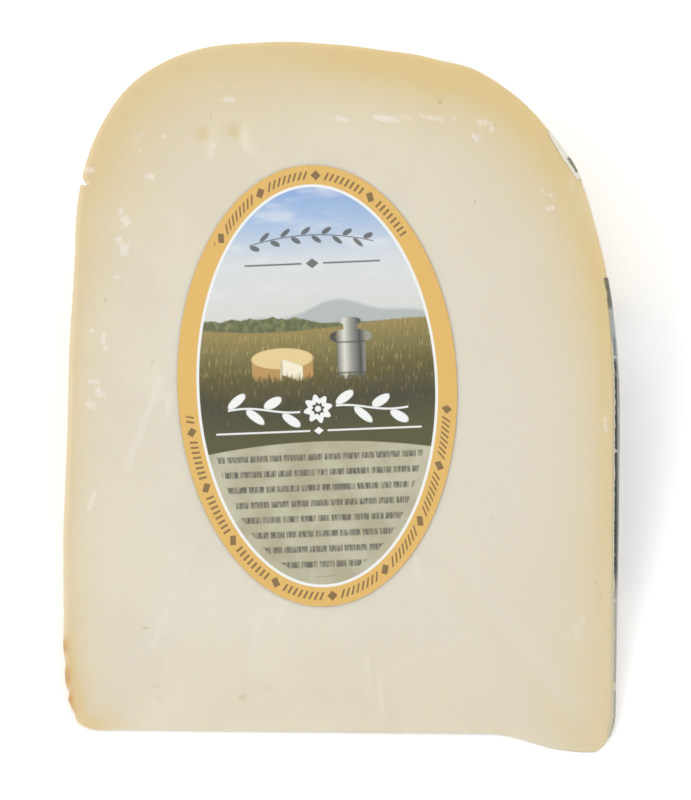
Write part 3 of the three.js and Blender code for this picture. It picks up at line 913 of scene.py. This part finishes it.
def print_meadow(art, blades):
    """Long grass, darker towards its foot, with pale stalks among it."""
    u, v = art.u, art.v
    top = 10.6 + 0.9 * (u * 0.11 - 0.7).sine() + 0.7 * blades
    grass = art.ramp(
        (top - v) / 22 + (blades - 0.5) * 0.22,
        (0, MEADOW_TOP), (0.14, MEADOW_GOLD), (0.38, MEADOW_DEEP), (0.62, MEADOW_DARK), (0.9, MEADOW_LOW),
    )
    stalks = art.noise(art.stretched(3.4, 0.5), 1, detail=2).rise(0.56, 0.72) * v.rise(-8, 8)
    art.lay(within(v - top, 0.2), art.blend(stalks * 0.6, grass, STALKS))


def print_milk_churn(art, in_grass):
    """A churn of pewter: body, shoulder, neck and lid, with two grips, and two bands round it."""
    churn = art.box(CHURN_U, CHURN_FOOT + 3.4, 2.6, 3.6)
    churn = churn.least(art.ellipse(CHURN_U, CHURN_FOOT + 7, 2.6, 2.1))
    churn = churn.least(art.box(CHURN_U, CHURN_FOOT + 9.2, 1.25, 1.2))
    churn = churn.least(art.ellipse(CHURN_U, CHURN_FOOT + 10.4, 2, 0.75))
    churn = churn.least(abs(art.ellipse(CHURN_U, CHURN_FOOT + 7.6, 3.3, 1.2)) - 0.2)
    stops = [(0, PEWTER_DARK), (0.28, PEWTER_LIGHT), (0.5, PEWTER), (0.8, PEWTER_DARK), (1, PEWTER)]
    up = art.v - CHURN_FOOT
    bands = within(abs(up - 6.6) - 0.16).most(within(abs(up - 1) - 0.16))
    pewter = art.blend(bands * 0.7, art.ramp((art.u - CHURN_U) / 5.6 + 0.5, *stops), PEWTER_DARK)
    art.lay(within(churn) * in_grass, pewter)


def print_cut_cheese(art, in_grass):
    """A wheel of cheese with a slice out of it, which bares two cut walls and a patch of ground."""
    half_height = WHEEL_HEIGHT / 2
    top = art.ellipse(WHEEL_U, WHEEL_V, WHEEL_HALF_WIDTH, WHEEL_HALF_DEPTH)
    foot = art.ellipse(WHEEL_U, WHEEL_V - WHEEL_HEIGHT, WHEEL_HALF_WIDTH, WHEEL_HALF_DEPTH)
    wheel = top.least(foot).least(art.box(WHEEL_U, WHEEL_V - half_height, WHEEL_HALF_WIDTH, half_height))
    art.lay(within(wheel) * in_grass, WHEEL_SIDE)
    art.lay(within(top), WHEEL_TOP)
    u, v = art.u - WHEEL_U, art.v - WHEEL_V
    over_far_wall, over_near_wall = v + 0.4 * u, v - 3.6 * u
    gap = (abs(u - 1.6) - 2.1).most(over_far_wall).most(over_near_wall).most(wheel)
    art.lay(within(gap) * in_grass, MEADOW_DEEP)
    far_wall = (abs(u - 1.85) - 1.85).most(abs(over_far_wall + half_height) - half_height)
    art.lay(within(far_wall) * in_grass, WHEEL_CUT)
    near_wall = (abs(u + 0.25) - 0.25).most(abs(over_near_wall + half_height) - half_height)
    art.lay(within(near_wall) * in_grass, WHEEL_SHADE)


def garland(art, middle, pitch, leaf):
    """Leaves in turn above and below a stem: ellipses tilted by 35 degrees, one to each pitch."""
    step = art.u / pitch
    number = step.whole()
    side = (number - (number / 2).whole() * 2) * 2 - 1
    along = (step - number - 0.5) * pitch
    away = (art.v - middle) * side - leaf * 0.75
    cosine, sine = math.cos(math.radians(35)), math.sin(math.radians(35))
    length = (along * cosine + away * sine) / leaf
    breadth = (away * cosine - along * sine) / (leaf * 0.42)
    leaves = ((length**2 + breadth**2) ** 0.5 - 1) * (leaf * 0.42)
    return leaves.least(abs(art.v - middle) - leaf * 0.09)


def print_garlands(art):
    """A dark garland in the sky over a line with a lozenge, and a white one across the meadow's foot.

    The white one has a line below it too, and a rosette in its middle, whose radius waves 8 times."""
    u, v = art.u, art.v
    dark = garland(art, 27.6 - u * u * 0.012, 1.9, 1.05).most(abs(u) - 11.4)
    up = abs(v - DARK_RULE_V)
    rule = (up - 0.16).most(abs(abs(u) - 7.2) - 5.2).least(abs(u) + up * 1.3 - 1.2)
    art.lay(within(dark) * 0.85, PRINT_DARK)
    art.lay(within(rule) * 0.85, PRINT_DARK)

    white = garland(art, ROSETTE_V + 0.5 * (u * 0.35).sine(), 3.3, 1.95).most(abs(abs(u) - 9.9) - 6.6)
    up = v - ROSETTE_V
    petals = 2.35 + 0.45 * (up.arctan2(u) * 8).sine()
    rosette = (u * u + up * up) ** 0.5
    white = white.least(abs(rosette - 0.2 - petals * 0.62) - petals * 0.26).least(rosette - 0.55)
    up = abs(v - WHITE_RULE_V)
    white = white.least((up - 0.16).most(abs(abs(u) - 10.2) - 8.6)).least(abs(u) + up * 1.3 - 0.9)
    art.lay(within(white, 0.35) * 0.5, MEADOW_DARK)
    art.lay(within(white), PRINT_WHITE)


def print_panel(art):
    """A cloudy pale panel, with rows of hatched bars that end at the edges of a Voronoi pattern."""
    u, v = art.u, art.v
    panel = art.blend(art.noise(art.label, 7).rise(0.35, 0.65), PANEL, PANEL_PALE)
    rows = (v - BARS_TOP_V) / BARS_PITCH
    row = rows.whole()
    off_row = abs(rows - row - 0.5) * BARS_PITCH
    sockets = {"W": u * 0.3 + row * 17.31, "Scale": 1}
    from_gap = art.node("ShaderNodeTexVoronoi", sockets, voronoi_dimensions="1D", feature="DISTANCE_TO_EDGE")
    bars = (off_row - BAR_HALF_HEIGHT).most((0.055 - from_gap) * 4)
    bars = bars.most(art.outside_oval(20.2, 34.9)).most(v - BARS_TOP_V)
    hatching = art.noise(art.stretched(1, 0.15), 0.32, detail=1).rise(0.3, 0.7)
    panel = art.blend(within(bars, 0.14) * (0.3 + 0.6 * hatching), panel, PRINT_DARK)
    art.lay(within(v + 10.2 + u * u * 0.004, 0.12), panel)


def print_border(art):
    """A white line, then gold with a run of small lozenges and dashes round most of it.

    The run along the oval is 31.7 angle + 3.68 sin(2 angle), in millimetres."""
    inner = art.outside_oval(OVAL_HALF_WIDTH - BORDER_WIDTH, OVAL_HALF_HEIGHT - BORDER_WIDTH)
    art.lay(inner.rise(-WHITE_LINE - 0.1, -WHITE_LINE + 0.1), PRINT_WHITE)
    angle = (art.v / OVAL_HALF_HEIGHT).arctan2(art.u / OVAL_HALF_WIDTH)
    run = 31.7 * angle + 3.68 * (angle * 2).sine()
    middle = BORDER_WIDTH / 2 + 0.1
    across = art.outside_oval(OVAL_HALF_WIDTH - middle, OVAL_HALF_HEIGHT - middle)
    slanted = (run + across * 0.45) / DASH_PITCH
    dashes = (abs(slanted - slanted.whole() - 0.5) * DASH_PITCH - 0.2).most(abs(across) - 0.72)
    spaced = run / LOZENGE_PITCH
    from_lozenge = abs(spaced - spaced.whole() - 0.5) * LOZENGE_PITCH
    marks = dashes.most(1.5 - from_lozenge).least(from_lozenge + abs(across) - 0.95)
    marked = art.v.rise(26, 27).most(art.v.rise(-4, -5))
    art.lay(inner.rise(-0.1, 0.1), art.blend(within(marks) * marked * 0.85, BORDER_GOLD, PRINT_BROWN))


def front_label_finish():
    """Flat fields and simple shapes, printed one over the other on satin paper."""
    art = LabelPrint()
    blades = art.noise(art.stretched(2.2, 0.28), 1, detail=4, roughness=0.65)
    in_grass = (art.v + (blades - 0.5) * 5).rise(1, 2.4)
    print_sky_and_hills(art)
    print_meadow(art, blades)
    print_milk_churn(art, in_grass)
    print_cut_cheese(art, in_grass)
    print_garlands(art)
    print_panel(art)
    print_border(art)
    fibre = art.noise(art.place(), 0.7)
    waves = art.noise(art.place(), 7, detail=1)
    return art.surface({
        "Base Color": art.picture,
        "Roughness": 0.36 + 0.1 * fibre,
        "Normal": art.bumps(0.1 * fibre + waves, 0.0001),
        "Specular IOR Level": 0.45,
    })


front_label.data.materials.append(front_label_finish())
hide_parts("front_label")
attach(front_label, "root")

# The studio: a plain pale floor in a pale room, lit by three large soft lamps: one on each side of
# the camera, and a third beyond the rim.

FLOOR_HALF = 4
floor_mesh = bpy.data.meshes.new("floor")
floor_corners = FLOOR_HALF * np.array([(-1, -1, 0), (1, -1, 0), (1, 1, 0), (-1, 1, 0)])
floor_mesh.from_pydata(floor_corners.tolist(), [], [(0, 1, 2, 3)])
floor = put_in_scene("floor", floor_mesh)
floor_finish = Finish("pale_floor")
floor_mesh.materials.append(floor_finish.surface({
    "Base Color": (0.95, 0.95, 0.95, 1),
    "Roughness": 0.8,
    "Specular IOR Level": 0,
}))

# The camera looks square at the upper cut face from a little to the right, with the rim upwards.
FACE_NORMAL = Vector((0, -math.sin(WEDGE_ANGLE), math.cos(WEDGE_ANGLE)))
RIMWARDS = Vector((0, math.cos(WEDGE_ANGLE), math.sin(WEDGE_ANGLE)))
PICTURE_MIDDLE = (1.2, 66.5)
PICTURE_WIDTH = 126.3 * MM
CAMERA_DISTANCE = 1.05
CAMERA_YAW = math.radians(4)

aim = Vector(on_wheel(*PICTURE_MIDDLE, WEDGE_ANGLE).tolist())
back = FACE_NORMAL * math.cos(CAMERA_YAW) + Vector((math.sin(CAMERA_YAW), 0, 0))
right = RIMWARDS.cross(back)
camera_data = bpy.data.cameras.new("camera")
camera_data.sensor_fit = "HORIZONTAL"
camera_data.sensor_width = 36
camera_data.lens = camera_data.sensor_width * CAMERA_DISTANCE / PICTURE_WIDTH
camera_data.clip_start, camera_data.clip_end = 0.05, 20
camera = put_in_scene("camera", camera_data)
turned = Matrix((right, RIMWARDS, back)).transposed().to_4x4()
camera.matrix_world = Matrix.Translation(aim + back * CAMERA_DISTANCE) @ turned
bpy.context.scene.camera = camera

# Lamps: name, place in metres, watts, and side in metres.
LAMPS = [
    ("left_lamp", (-1.1, -0.35, 1.35), 9.5, 1.2),
    ("right_lamp", (1.2, -0.3, 1.3), 5, 1.2),
    ("top_lamp", (-0.1, 1.3, 1.5), 5, 1.2),
]
for name, place, watts, side in LAMPS:
    lamp_data = bpy.data.lights.new(name, "AREA")
    lamp_data.energy, lamp_data.size = watts, side
    lamp = put_in_scene(name, lamp_data)
    lamp.location = place
    lamp.rotation_euler = (aim - Vector(place)).to_track_quat("-Z", "Y").to_euler()

world = bpy.data.worlds.new("pale_room")
world.use_nodes = True
background = world.node_tree.nodes["Background"].inputs
background["Color"].default_value = (1, 1, 1, 1)
background["Strength"].default_value = 1
bpy.context.scene.world = world
bpy.context.scene.view_settings.view_transform = "Standard"
